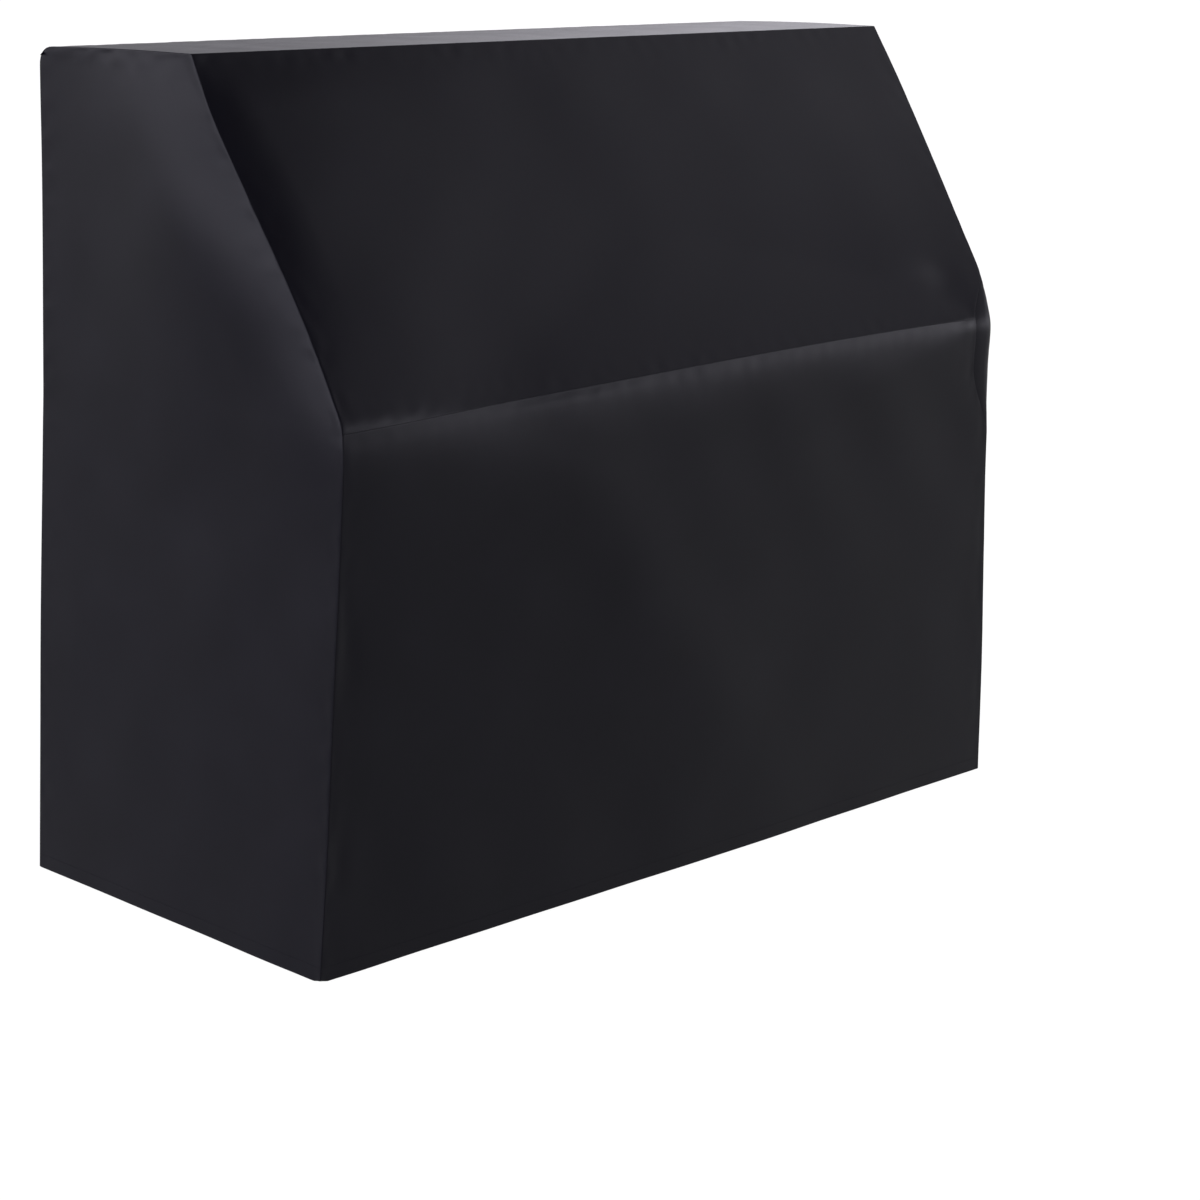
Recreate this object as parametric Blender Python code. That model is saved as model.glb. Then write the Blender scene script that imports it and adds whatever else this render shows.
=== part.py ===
"""Fitted cloth cover for an upright piano: six sewn panels, hollow, and open at the hem.

The panels are worked out as heights above the hem, depths forward of the back panel and places
across the width. The finished solids stand in the part's own frame, whose origin is the middle of
the top panel's underside, where the piano's lid carries the cover. +X runs to the right as seen
from the front, +Y to the back and +Z up.
"""

from collections import namedtuple
import math

import bmesh
import bpy
import numpy as np

# Cloth and sewing, in metres.
CLOTH = 0.0015
HEM_CLOTH = 0.0027
HEM_HEIGHT = 0.025
SEAM_GAP = 0.0003

# The side profile.
FRONT_TOP_HEIGHT = 1.275
BACK_TOP_HEIGHT = 1.2575
BACK_TOP_RADIUS = 0.025
TOP_DEPTH = 0.338
KNEE_DEPTH = 0.634
HEM_DEPTH = 0.655
KNEE_HEIGHT_LEFT = 0.787
KNEE_HEIGHT_RIGHT = 0.813
KNEE_CLIMB_WIDTH = 1.39

# How far the cloth leaves flat faces.
TOP_CROWN = 0.004
BACK_BILLOW = 0.004
SLOPE_HOLLOW = 0.008
BAND_HEIGHT = 0.075
BAND_SETBACK = 0.013
RIDGE_REACH = 0.25
SEAM_DIP = 0.004
SEAM_DIP_REACH = 0.03
DIP_FADE_LOW = 0.1
DIP_FADE_HIGH = 0.05

# The ends: a soft roll behind each front seam, and a rounded corner at the right end's knee,
# where the seam runs down the front of the corner and not along it.
END_ROLL = 0.005
ROLL_DEPTH = 0.026
ROLL_FULL_HEIGHT = 0.3
CORNER_ROLL = 0.058
CORNER_INSET = 0.045
CORNER_FORWARD = 0.008
CORNER_LOW = 0.60
CORNER_FULL = (0.73, 0.81)
CORNER_HIGH = 0.885

# Each end's outline, from the hem up: the depth of the front seam, and how far the left seam, the
# right seam and both back seams stand from the middle.
EndLevel = namedtuple("EndLevel", "height depth left right back")
END_LEVELS = (
    EndLevel(0.000, 0.652, 0.782, 0.783, 0.778),
    EndLevel(0.200, 0.650, 0.769, 0.772, 0.776),
    EndLevel(0.400, 0.645, 0.760, 0.761, 0.774),
    EndLevel(0.600, 0.641, 0.749, 0.749, 0.769),
    EndLevel(0.750, 0.636, 0.745, 0.745, 0.766),
    EndLevel(0.800, 0.631, 0.745, 0.746, 0.765),
    EndLevel(0.840, 0.620, 0.752, 0.753, 0.765),
    EndLevel(0.880, 0.599, 0.755, 0.756, 0.765),
    EndLevel(0.950, 0.554, 0.756, 0.757, 0.765),
    EndLevel(1.100, 0.453, 0.763, 0.763, 0.766),
    EndLevel(1.200, 0.383, 0.768, 0.767, 0.771),
    EndLevel(1.275, 0.338, 0.766, 0.757, 0.772),
)

# Where the panels' grid lines run.
HEM_ROWS = (0.0, HEM_HEIGHT, HEM_HEIGHT + 0.003)
LOWER_ROWS = (0.14, 0.28, 0.42, 0.56, 0.68, 0.78, 0.86, 0.915, 0.95, 0.975, 1.0)
UPPER_ROWS = (0.04, 0.09, 0.15, 0.22, 0.32, 0.46, 0.61, 0.76, 0.88)
ARC_ROWS = 3
SEAM_COLUMNS = (0.0, 0.012, 0.03, 0.06, 0.11, 0.18)
MIDDLE_COLUMNS = 8
ROLL_ANGLES = (0.0, 30.0, 60.0, 90.0)
END_COLUMNS = 6
BACK_ARC_STEPS = (0.6, 0.0)
TOP_EDGE_FADE = 12

MOUNT_DEPTH = TOP_DEPTH / 2
MOUNT_HEIGHT = (FRONT_TOP_HEIGHT + BACK_TOP_HEIGHT) / 2 + TOP_CROWN - CLOTH


def mix(start, end, share):
    return start + (end - start) * share


def smooth_step(share):
    share = min(max(share, 0.0), 1.0)
    return share * share * (3.0 - 2.0 * share)


def end_level(height, column):
    """One column of END_LEVELS at any height, on a smooth curve through its rows."""
    heights = [level.height for level in END_LEVELS]
    values = [getattr(level, column) for level in END_LEVELS]
    slopes = np.gradient(values, heights)
    height = min(max(height, heights[0]), heights[-1])
    row = min(int(np.searchsorted(heights, height, side="right")) - 1, len(heights) - 2)
    span = heights[row + 1] - heights[row]
    share = (height - heights[row]) / span
    ease = smooth_step(share)
    lead_in = share * (1.0 - share) ** 2 * span * slopes[row]
    lead_out = share**2 * (share - 1.0) * span * slopes[row + 1]
    return mix(values[row], values[row + 1], ease) + lead_in + lead_out


def corner_share(height):
    """How fully the right end's knee corner is rounded at this height, from 0 to 1."""
    rising = smooth_step((height - CORNER_LOW) / (CORNER_FULL[0] - CORNER_LOW))
    falling = smooth_step((CORNER_HIGH - height) / (CORNER_HIGH - CORNER_FULL[1]))
    return rising * falling


def knee_height(x):
    """The knee line climbs a little from the left end to the right."""
    return mix(KNEE_HEIGHT_LEFT, KNEE_HEIGHT_RIGHT, smooth_step(0.5 + x / KNEE_CLIMB_WIDTH))


def left_seam(height):
    return -end_level(height, "left")


def right_seam(height):
    return end_level(height, "right") - CORNER_INSET * corner_share(height)


def top_edge(depth):
    """Height of the top along the ends, before its back edge turns down."""
    share = depth / TOP_DEPTH
    return mix(BACK_TOP_HEIGHT, FRONT_TOP_HEIGHT, share) + TOP_CROWN / 2 * math.sin(math.pi * share)


def middle_depth(x, height):
    """Depth of the front away from the ends: a near-upright lower part, then the slope."""
    knee = knee_height(x)
    if height <= knee:
        below = min((knee - height) / BAND_HEIGHT, 1.0)
        plain = mix(HEM_DEPTH, KNEE_DEPTH + BAND_SETBACK, height / knee)
        return plain - BAND_SETBACK * (1.0 - below) ** 2
    share = (height - knee) / (FRONT_TOP_HEIGHT - knee)
    return mix(KNEE_DEPTH, TOP_DEPTH, share) - SLOPE_HOLLOW * math.sin(math.pi * share)


def front_point(x, height):
    """A point of the front: hollow between the ends, and dipped just beside the slope's seams."""
    left = left_seam(height)
    right = right_seam(height)
    from_seam = max(min(x - left, right - x), 0.0)
    ridge = max(1.0 - from_seam / RIDGE_REACH, 0.0) ** 3
    edge = end_level(height, "depth")
    if x > 0.0:
        edge += CORNER_FORWARD * corner_share(height)
    depth = mix(middle_depth(x, height), edge, ridge)
    on_slope = smooth_step((height - knee_height(x)) / DIP_FADE_LOW)
    on_slope *= smooth_step((FRONT_TOP_HEIGHT - height) / DIP_FADE_HIGH)
    reach = from_seam / SEAM_DIP_REACH
    depth -= SEAM_DIP * on_slope * reach * math.exp(1.0 - reach)
    return (x, depth, height)


def across(left, right):
    """Places from one side seam to the other, closer together beside the seams."""
    inner = np.linspace(left + SEAM_COLUMNS[-1], right - SEAM_COLUMNS[-1], MIDDLE_COLUMNS + 1)
    near = [left + step for step in SEAM_COLUMNS[:-1]]
    far = [right - step for step in reversed(SEAM_COLUMNS[:-1])]
    return near + list(inner) + far


def lower_heights(knee):
    rows = list(HEM_ROWS)
    rows += [knee * share for share in LOWER_ROWS]
    return rows


def upper_heights(knee, top):
    """Heights above the knee up to the top, the last ones evenly over the back corner's arc."""
    shares = list(UPPER_ROWS)
    shares += [mix(UPPER_ROWS[-1], 1.0, step / ARC_ROWS) for step in range(1, ARC_ROWS + 1)]
    return [mix(knee, top, share) for share in shares]


def back_edge():
    """(depth, height) up the back seam, ending half-way round the back corner."""
    knee = (KNEE_HEIGHT_LEFT + KNEE_HEIGHT_RIGHT) / 2
    turn = BACK_TOP_HEIGHT - BACK_TOP_RADIUS
    points = [(0.0, height) for height in lower_heights(knee)]
    points += [(0.0, mix(knee, turn, share / UPPER_ROWS[-1])) for share in UPPER_ROWS]
    for step in range(1, ARC_ROWS + 1):
        angle = math.radians(45.0 * step / ARC_ROWS)
        depth = BACK_TOP_RADIUS * (1.0 - math.cos(angle))
        points.append((depth, turn + BACK_TOP_RADIUS * math.sin(angle)))
    return points


def top_rows():
    """(depth, height) along the ends' top edge, from the front seam to half-way round the corner."""
    points = []
    for depth in top_depths():
        height = top_edge(depth)
        if depth < BACK_TOP_RADIUS:
            drop = 1.0 - depth / BACK_TOP_RADIUS
            height -= BACK_TOP_RADIUS * (1.0 - math.sqrt(1.0 - drop * drop))
        points.append((depth, height))
    points[-1] = back_edge()[-1]
    return points


def end_shares(depth):
    """Shares of the way from a front seam back, closely spaced over the roll behind the seam."""
    roll = [ROLL_DEPTH * (1.0 - math.cos(math.radians(angle))) / depth for angle in ROLL_ANGLES]
    plain = np.linspace(roll[-1], 1.0 - BACK_TOP_RADIUS / depth, END_COLUMNS + 1)[1:]
    arc = [1.0 - BACK_TOP_RADIUS * step / depth for step in BACK_ARC_STEPS]
    return roll + list(plain) + arc


def top_depths():
    last = back_edge()[-1][0]
    span = TOP_DEPTH - last
    return [TOP_DEPTH - span * share for share in end_shares(span)]


def roll_out(behind, depth):
    """How far the roll behind a front seam stands out: a quarter ellipse, then a long fade."""
    if behind < ROLL_DEPTH:
        return math.sqrt(max(1.0 - (1.0 - behind / ROLL_DEPTH) ** 2, 0.0))
    return 1.0 - (behind - ROLL_DEPTH) / (depth - ROLL_DEPTH)


def end_grid(side):
    """An end panel's outer face: rows from the hem to the top, columns from front to back."""
    seam = right_seam if side > 0 else left_seam
    knee = KNEE_HEIGHT_RIGHT if side > 0 else KNEE_HEIGHT_LEFT
    heights = lower_heights(knee) + upper_heights(knee, FRONT_TOP_HEIGHT)
    rows = []
    for front_height, (back_depth, back_height) in zip(heights, back_edge()):
        front_x, front_depth, _ = front_point(seam(front_height), front_height)
        back_x = side * end_level(back_height, "back")
        corner = corner_share(front_height) if side > 0 else 0.0
        roll = mix(END_ROLL * smooth_step(front_height / ROLL_FULL_HEIGHT), CORNER_ROLL, corner)
        run = front_depth - back_depth
        row = []
        for share in end_shares(run):
            out = side * roll * roll_out(share * run, run)
            x = mix(front_x, back_x, share) + out
            row.append((x, mix(front_depth, back_depth, share), mix(front_height, back_height, share)))
        rows.append(row)
    grid = np.array(rows)
    edge = np.array(top_rows())
    lift = edge[:, 1] - grid[-1, :, 2]
    for row, height in enumerate(heights):
        grid[row, :, 2] += lift * (height / FRONT_TOP_HEIGHT) ** TOP_EDGE_FADE
    grid[-1, :, 1] = edge[:, 0]
    return grid


def front_grid(heights_at):
    """A front panel's outer face. heights_at(knee) lists the rows' heights."""
    rows = []
    ends = zip(heights_at(KNEE_HEIGHT_LEFT), heights_at(KNEE_HEIGHT_RIGHT))
    for row, (left_height, right_height) in enumerate(ends):
        places = across(left_seam(left_height), right_seam(right_height))
        rows.append([front_point(x, heights_at(knee_height(x))[row]) for x in places])
    return np.array(rows)


def back_grid(left_end, right_end):
    """The back panel's outer face between the ends' back edges, with a slight billow."""
    rows = []
    for left, right in zip(left_end[:, -1], right_end[:, -1]):
        columns = []
        for x in across(left[0], right[0]):
            share = (x - left[0]) / (right[0] - left[0])
            point = mix(left, right, share)
            upright = math.sin(math.pi * min(left[2] / BACK_TOP_HEIGHT, 1.0))
            point[0] = x
            point[1] -= BACK_BILLOW * math.sin(math.pi * share) * upright
            columns.append(point)
        rows.append(columns)
    return np.array(rows)


def top_grid(front, back, left_end, right_end):
    """The top panel's outer face: rows from the front seam to the back one, with a low crown."""
    rows = []
    for left, right in zip(left_end[-1], right_end[-1]):
        columns = []
        for x in across(left[0], right[0]):
            share = (x - left[0]) / (right[0] - left[0])
            point = mix(left, right, share)
            rise = math.sin(math.pi * share) * math.sin(math.pi * left[1] / TOP_DEPTH)
            point[0] = x
            point[2] += TOP_CROWN / 2 * rise
            columns.append(point)
        rows.append(columns)
    grid = np.array(rows)
    grid[0] = front[-1]
    grid[-1] = back[-1]
    return grid


def unit(vectors):
    return vectors / np.linalg.norm(vectors, axis=-1, keepdims=True)


def outward_normals(grid, outward):
    normals = unit(np.cross(np.gradient(grid, axis=1), np.gradient(grid, axis=0)))
    return normals if (normals.mean(axis=(0, 1)) @ outward) > 0 else -normals


def place_key(point):
    return tuple(np.round(point, 6) + 0.0)


def shared_normals(grids, normals):
    """Every panel's normal at each place, so that a seam knows both of its panels."""
    found = {}
    for name, grid in grids.items():
        for point, normal in zip(grid.reshape(-1, 3), normals[name].reshape(-1, 3)):
            found.setdefault(place_key(point), []).append(normal)
    return found


def inward_step(grid, shared):
    """The way from the outer face to the inner one for a unit of thickness, mitred at a seam."""
    steps = np.empty_like(grid)
    for place in np.ndindex(grid.shape[:2]):
        normals = np.array(shared[place_key(grid[place])])
        steps[place] = -np.linalg.lstsq(normals, np.ones(len(normals)), rcond=0.2)[0]
    return steps


def seam_trim(grid, shared, sewn):
    """How far each sewn edge is drawn back into its panel, to part it from its neighbour."""
    trim = np.zeros_like(grid)
    for edge in sewn:
        axis, border, inner = {
            "hem_side": (0, 0, 1),
            "top_side": (0, -1, -2),
            "first_side": (1, 0, 1),
            "last_side": (1, -1, -2),
        }[edge]
        line = np.take(grid, border, axis=axis)
        inwards = np.take(grid, inner, axis=axis) - line
        along = unit(np.gradient(line, axis=0))
        inwards = unit(inwards - (inwards * along).sum(axis=1, keepdims=True) * along)
        for index, point in enumerate(line):
            normals = shared[place_key(point)]
            bend = min(float(first @ second) for first in normals for second in normals)
            half_bend = math.acos(min(max(bend, -1.0), 1.0)) / 2
            pull = inwards[index] * SEAM_GAP / 2 / max(math.cos(half_bend), 0.5)
            if axis == 0:
                trim[border, index] += pull
            else:
                trim[index, border] += pull
    return trim


def cloth_thickness(grid, has_hem):
    """Thickness at each place: more where the hem is turned up on the inside."""
    hemmed = grid[..., 2] < HEM_HEIGHT + 0.0015
    return np.where(hemmed & has_hem, HEM_CLOTH, CLOTH)[..., None]


def to_row_frame(points):
    placed = np.empty_like(points)
    placed[..., 0] = points[..., 0]
    placed[..., 1] = MOUNT_DEPTH - points[..., 1]
    placed[..., 2] = points[..., 2] - MOUNT_HEIGHT
    return placed


def cloth_material():
    material = bpy.data.materials.new("cover_cloth")
    material.use_nodes = True
    shader = material.node_tree.nodes["Principled BSDF"]
    shader.inputs["Base Color"].default_value = (0.012, 0.012, 0.015, 1.0)
    shader.inputs["Roughness"].default_value = 0.5
    shader.inputs["Metallic"].default_value = 0.0
    return material


def sheet_solid(name, outer, inner, material):
    """A grid laid on the outer face, then extruded to the inner one."""
    rows, columns = outer.shape[:2]
    builder = bmesh.new()
    bmesh.ops.create_grid(builder, x_segments=columns - 1, y_segments=rows - 1, size=1.0)
    place = builder.verts.layers.int.new("place")
    for vertex in builder.verts:
        column = round((vertex.co.x + 1.0) / 2.0 * (columns - 1))
        row = round((vertex.co.y + 1.0) / 2.0 * (rows - 1))
        vertex[place] = row * columns + column
        vertex.co = outer[row, column]
    made = bmesh.ops.extrude_face_region(builder, geom=builder.faces[:], use_keep_orig=True)
    for vertex in made["geom"]:
        if isinstance(vertex, bmesh.types.BMVert):
            vertex.co = inner[divmod(vertex[place], columns)]
    bmesh.ops.recalc_face_normals(builder, faces=builder.faces[:])
    mesh = bpy.data.meshes.new(name)
    builder.to_mesh(mesh)
    builder.free()
    mesh.shade_smooth()
    mesh.set_sharp_from_angle(angle=math.radians(35.0))
    mesh.materials.append(material)
    panel = bpy.data.objects.new(name, mesh)
    bpy.context.scene.collection.objects.link(panel)
    return panel


# Each panel's outer side, and the edges that are sewn to a neighbour. The grids' first row is the
# hem, or the front seam on the top panel.
Panel = namedtuple("Panel", "outward sewn has_hem")
PANELS = {
    "end_panel_left": Panel((-1, 0, 0), ("top_side", "first_side", "last_side"), True),
    "end_panel_right": Panel((1, 0, 0), ("top_side", "first_side", "last_side"), True),
    "lower_front_panel": Panel((0, 1, 0), ("top_side", "first_side", "last_side"), True),
    "upper_front_panel": Panel((0, 1, 0), ("hem_side", "top_side", "first_side", "last_side"), False),
    "top_panel": Panel((0, 0, 1), ("hem_side", "top_side", "first_side", "last_side"), False),
    "back_panel": Panel((0, -1, 0), ("top_side", "first_side", "last_side"), True),
}


def outer_faces():
    left_end = end_grid(-1)
    right_end = end_grid(1)
    lower = front_grid(lower_heights)
    upper = front_grid(lambda knee: [knee] + upper_heights(knee, FRONT_TOP_HEIGHT))
    back = back_grid(left_end, right_end)
    return {
        "end_panel_left": left_end,
        "end_panel_right": right_end,
        "lower_front_panel": lower,
        "upper_front_panel": upper,
        "top_panel": top_grid(upper, back, left_end, right_end),
        "back_panel": back,
    }


def build_cover():
    grids = outer_faces()
    normals = {
        name: outward_normals(grid, np.array(PANELS[name].outward, float))
        for name, grid in grids.items()
    }
    shared = shared_normals(grids, normals)
    material = cloth_material()
    for name, grid in grids.items():
        panel = PANELS[name]
        trim = seam_trim(grid, shared, panel.sewn)
        steps = inward_step(grid, shared)
        inner = grid + steps * cloth_thickness(grid, panel.has_hem)
        sheet_solid(name, to_row_frame(grid + trim), to_row_frame(inner + trim), material)


for leftover in list(bpy.data.objects):
    bpy.data.objects.remove(leftover)
build_cover()
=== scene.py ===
"""Woven cloth, sewing and a pale studio for a fitted cover over an upright piano.

Each panel is a sheet of thin cloth on a fine grid. Its sewn edges roll inwards into seam
allowances, and its free edge is turned up into a stitched hem. The shapes are worked out in the
cover's own terms: x across, depth forward of the back panel, and height above the hem. They are
placed in the frame, whose origin is the middle of the top panel's underside, in metres.
"""

import math
from collections import namedtuple

import bpy
import numpy as np
from bpy.props import FloatProperty, FloatVectorProperty, PointerProperty
from mathutils import Matrix, Vector
from mathutils.kdtree import KDTree


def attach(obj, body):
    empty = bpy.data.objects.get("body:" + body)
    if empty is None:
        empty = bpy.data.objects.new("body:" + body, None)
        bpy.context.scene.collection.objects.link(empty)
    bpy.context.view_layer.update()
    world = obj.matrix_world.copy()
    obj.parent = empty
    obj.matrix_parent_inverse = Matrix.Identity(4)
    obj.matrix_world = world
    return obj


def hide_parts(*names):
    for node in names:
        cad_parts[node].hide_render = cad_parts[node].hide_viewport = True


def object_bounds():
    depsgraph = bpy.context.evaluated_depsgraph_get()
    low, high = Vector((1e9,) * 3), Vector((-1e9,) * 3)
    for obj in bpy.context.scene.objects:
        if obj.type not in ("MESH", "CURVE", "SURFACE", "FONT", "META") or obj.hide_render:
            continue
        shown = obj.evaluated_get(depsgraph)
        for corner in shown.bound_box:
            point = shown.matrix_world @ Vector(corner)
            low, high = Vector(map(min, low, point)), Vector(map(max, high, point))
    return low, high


bl_info = {
    "name": "Upright Piano Cover",
    "version": (1, 0, 0),
    "blender": (4, 5, 0),
    "location": "3D View > Sidebar > Cover",
    "description": "Dresses a piano cover in sewn cloth and sets it in a pale studio",
    "category": "Object",
}

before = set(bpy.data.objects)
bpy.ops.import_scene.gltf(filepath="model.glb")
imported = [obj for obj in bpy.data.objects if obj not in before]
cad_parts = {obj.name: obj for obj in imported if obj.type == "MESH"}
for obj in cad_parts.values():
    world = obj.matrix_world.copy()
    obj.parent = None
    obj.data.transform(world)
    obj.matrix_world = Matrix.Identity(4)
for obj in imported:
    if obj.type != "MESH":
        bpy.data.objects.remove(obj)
CAD_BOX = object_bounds()

# The side profile, in metres, and how many degrees round the back's top corner its side seams run.
FRONT_TOP_HEIGHT = 1.275
BACK_TOP_HEIGHT = 1.2575
BACK_TOP_RADIUS = 0.025
BACK_SEAM_TURN = 45.0
TOP_DEPTH = 0.338
KNEE_DEPTH = 0.638
HEM_DEPTH = 0.655

# The knee line's height at the ends, how wide its climb is, and the rise and width of its arch.
KNEE_HEIGHT_LEFT = 0.790
KNEE_HEIGHT_RIGHT = 0.810
KNEE_CLIMB_WIDTH = 1.39
KNEE_ARCH = 0.005
KNEE_ARCH_WIDTH = 1.49

# How far the top, the back and the slope leave flat faces between their seams.
TOP_CROWN = 0.004
BACK_BILLOW = 0.004
SLOPE_HOLLOW = 0.003

# The front's seams stand up from its middle. How far in from a seam that fades: in general, at the
# knee on the left and on the right, and how far from the knee the one gives way to the other.
RIDGE_REACH = 0.75
KNEE_RIDGE_REACH = (0.40, 0.10)
KNEE_RIDGE_SPAN = 0.22

# The lower front's turn-over under the knee: how far it stands back at the knee and how far down that
# fades, on its left and on its right, and where across it the left's values give way to the right's.
BAND_SETBACK = (0.0117, 0.0085)
BAND_LENGTH = (0.043, 0.034)
BAND_CHANGE = (-0.35, 0.45)

# The slope's fullness beside its left seam: how far it stands out, how wide its rise is at the knee
# and at the top, and how far it takes to fade across, and to come and go above the knee and at the top.
SHOULDER = 0.011
SHOULDER_REACH = (0.10, 0.065)
SHOULDER_FADE = 0.60
SHOULDER_FADE_LOW = 0.30
SHOULDER_FADE_HIGH = 0.07

# The ends turn in a soft roll behind each front seam: how far it stands out, how deep it is, how
# square its curve is, and from which height up it is full.
END_ROLL = 0.002
ROLL_DEPTH = 0.026
ROLL_SHAPE = 6.0
ROLL_FULL_HEIGHT = 0.3

# The ends' upper half swells: how far, how far in from the front seam, the top and the back seam it
# takes to do so, and between which heights it comes.
END_PILLOW = 0.024
END_PILLOW_SEAM = 0.18
END_PILLOW_TOP = 0.32
END_PILLOW_BACK = 0.38
END_PILLOW_LOW = 0.60
END_PILLOW_FULL = 1.05

# The right end's knee is a rounded corner: how far its roll stands out, how far its seam is drawn in
# and its lip comes forward, and the heights where it begins, is full and ends.
CORNER_ROLL = 0.0455
CORNER_INSET = 0.047
CORNER_LIP = 0.0035
CORNER_LOW = 0.60
CORNER_FULL = (0.73, 0.81)
CORNER_HIGH = 0.885

# The power of the height by which an end's rows bend to its top edge.
TOP_EDGE_FADE = 12

# Each end's outline, from the hem up: the depths of the left and right front seams, and how far the
# left seam, the right seam and both back seams stand from the middle.
EndLevel = namedtuple("EndLevel", "height left_depth right_depth left right back")
END_LEVELS = (
    EndLevel(0.000, 0.652, 0.652, 0.782, 0.783, 0.778),
    EndLevel(0.200, 0.653, 0.650, 0.773, 0.772, 0.776),
    EndLevel(0.400, 0.654, 0.645, 0.768, 0.761, 0.774),
    EndLevel(0.600, 0.656, 0.643, 0.763, 0.748, 0.770),
    EndLevel(0.700, 0.659, 0.643, 0.763, 0.745, 0.768),
    EndLevel(0.750, 0.6595, 0.643, 0.763, 0.744, 0.767),
    EndLevel(0.775, 0.657, 0.643, 0.762, 0.745, 0.767),
    EndLevel(0.800, 0.652, 0.641, 0.760, 0.746, 0.767),
    EndLevel(0.840, 0.628, 0.622, 0.758, 0.753, 0.767),
    EndLevel(0.880, 0.603, 0.599, 0.757, 0.756, 0.767),
    EndLevel(0.950, 0.558, 0.554, 0.758, 0.757, 0.767),
    EndLevel(1.100, 0.452, 0.453, 0.764, 0.763, 0.768),
    EndLevel(1.200, 0.383, 0.383, 0.768, 0.767, 0.770),
    EndLevel(1.275, 0.338, 0.338, 0.766, 0.757, 0.771),
)

# Where the grids' lines run beside a seam, and behind a front seam, where they follow the roll and
# then go on as beside any other.
SEAM_STEPS = (0.0, 0.002, 0.005, 0.009, 0.015, 0.022, 0.031, 0.042, 0.056, 0.074)
ROLL_ANGLES = (0.0, 6.0, 15.0, 28.0, 38.0, 48.0, 58.0, 68.0, 79.0, 90.0)
ROLL_STEPS = tuple(ROLL_DEPTH * (1.0 - math.cos(math.radians(angle))) for angle in ROLL_ANGLES)
ROLL_STEPS += SEAM_STEPS[7:]

# How many steps the grids have between those lines, and in a seam's roll, a hem's fold, a seam's
# allowance and a hem's turned-up cloth.
MIDDLE_ACROSS = 124
MIDDLE_LOWER = 72
MIDDLE_UPPER = 46
MIDDLE_DEEP = 58
ROLL_SEGMENTS = 6
HEM_SEGMENTS = 8
ALLOWANCE_STEPS = 2
HEM_TURN_STEPS = 3

# Which grid line a hem is stitched along, and how many columns its stitches leave out at each end.
HEM_STITCH_ROW = 5
HEM_STITCH_INSET = 3

# Points this close meet in one seam, and points this close are one.
MEETING_DISTANCE = 1e-5
WELD_DISTANCE = 1e-6

# Soft troughs in the cloth, or ridges where the depth is negative. Across and up are places on the
# panel's own cloth in metres: across from its middle or from its back edge, and up from its lower
# or front edge. Turn is the way the crease runs, in degrees from level.
Crease = namedtuple("Crease", "across up turn half_length half_width depth")
CREASES = {
    "lower_front_panel": (
        Crease(-0.741, 0.480, 92.0, 0.060, 0.016, 0.0016),
        Crease(-0.752, 0.178, 88.0, 0.050, 0.014, 0.0014),
        Crease(0.300, 0.300, 35.0, 0.220, 0.070, 0.0007),
        Crease(-0.040, 0.345, -54.0, 0.420, 0.150, -0.0070),
        Crease(0.020, 0.560, 20.0, 0.260, 0.060, -0.0012),
    ),
    "upper_front_panel": (
        Crease(0.660, 0.068, -50.0, 0.058, 0.042, 0.0048),
        Crease(-0.280, 0.300, 50.0, 0.250, 0.080, 0.0008),
        Crease(0.250, 0.330, 120.0, 0.260, 0.080, 0.0009),
    ),
    "end_panel_left": (
        Crease(0.300, 0.330, 84.0, 0.260, 0.050, 0.0006),
        Crease(0.120, 0.600, 96.0, 0.300, 0.070, 0.0006),
        Crease(0.470, 0.560, 70.0, 0.240, 0.060, -0.0004),
    ),
    "end_panel_right": (
        Crease(0.330, 0.350, 95.0, 0.260, 0.050, 0.0016),
        Crease(0.160, 0.640, 84.0, 0.300, 0.070, 0.0014),
        Crease(0.480, 0.520, 108.0, 0.240, 0.060, -0.0012),
    ),
    "top_panel": (
        Crease(-0.520, 0.150, 24.0, 0.120, 0.018, 0.0014),
        Crease(-0.180, 0.190, -18.0, 0.150, 0.020, 0.0014),
        Crease(0.240, 0.140, 12.0, 0.160, 0.020, 0.0012),
        Crease(0.580, 0.190, -30.0, 0.110, 0.018, 0.0014),
    ),
    "back_panel": (
        Crease(-0.460, 0.420, 80.0, 0.320, 0.080, 0.0022),
        Crease(0.050, 0.560, 97.0, 0.360, 0.090, -0.0020),
        Crease(0.520, 0.380, 102.0, 0.300, 0.070, 0.0022),
    ),
}

# Small unevenness: puckers beside the sewing, how far from the seams slack and creases are full, and
# how far the front's left hem corner is drawn up. The puckers' seeds stand apart from the slack's.
PUCKER_HEIGHT = 0.00025
PUCKER_REACH = 0.010
PUCKER_LENGTH = 0.034
PUCKER_SEED = 100
SLACK_REACH = 0.09
CREASE_REACH = 0.015
HEM_CORNER_LIFT = 0.003
HEM_CORNER_REACH = 0.016

# Each panel: the piece that dresses it, its outer side, what its lower edge is, the length of
# slack waves in it with their height, and the seed that places them.
Panel = namedtuple("Panel", "piece outward lower_edge slack_length slack_height seed")
PANELS = {
    "upper_front_panel": Panel("slope_cloth", (0, -1, 0), "seam", 0.19, 0.0004, 11),
    "lower_front_panel": Panel("lower_front_cloth", (0, -1, 0), "hem", 0.22, 0.0005, 12),
    "end_panel_left": Panel("left_end_cloth", (-1, 0, 0), "hem", 0.21, 0.0005, 13),
    "end_panel_right": Panel("right_end_cloth", (1, 0, 0), "hem", 0.21, 0.0005, 14),
    "top_panel": Panel("top_cloth", (0, 0, 1), "seam", 0.10, 0.0003, 15),
    "back_panel": Panel("back_cloth", (0, 1, 0), "hem", 0.24, 0.0007, 16),
}

# The shared frame's origin, in the cover's own terms: its depth from the back and its height.
MOUNT_DEPTH = TOP_DEPTH / 2
MOUNT_HEIGHT = -CAD_BOX[0].z

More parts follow.
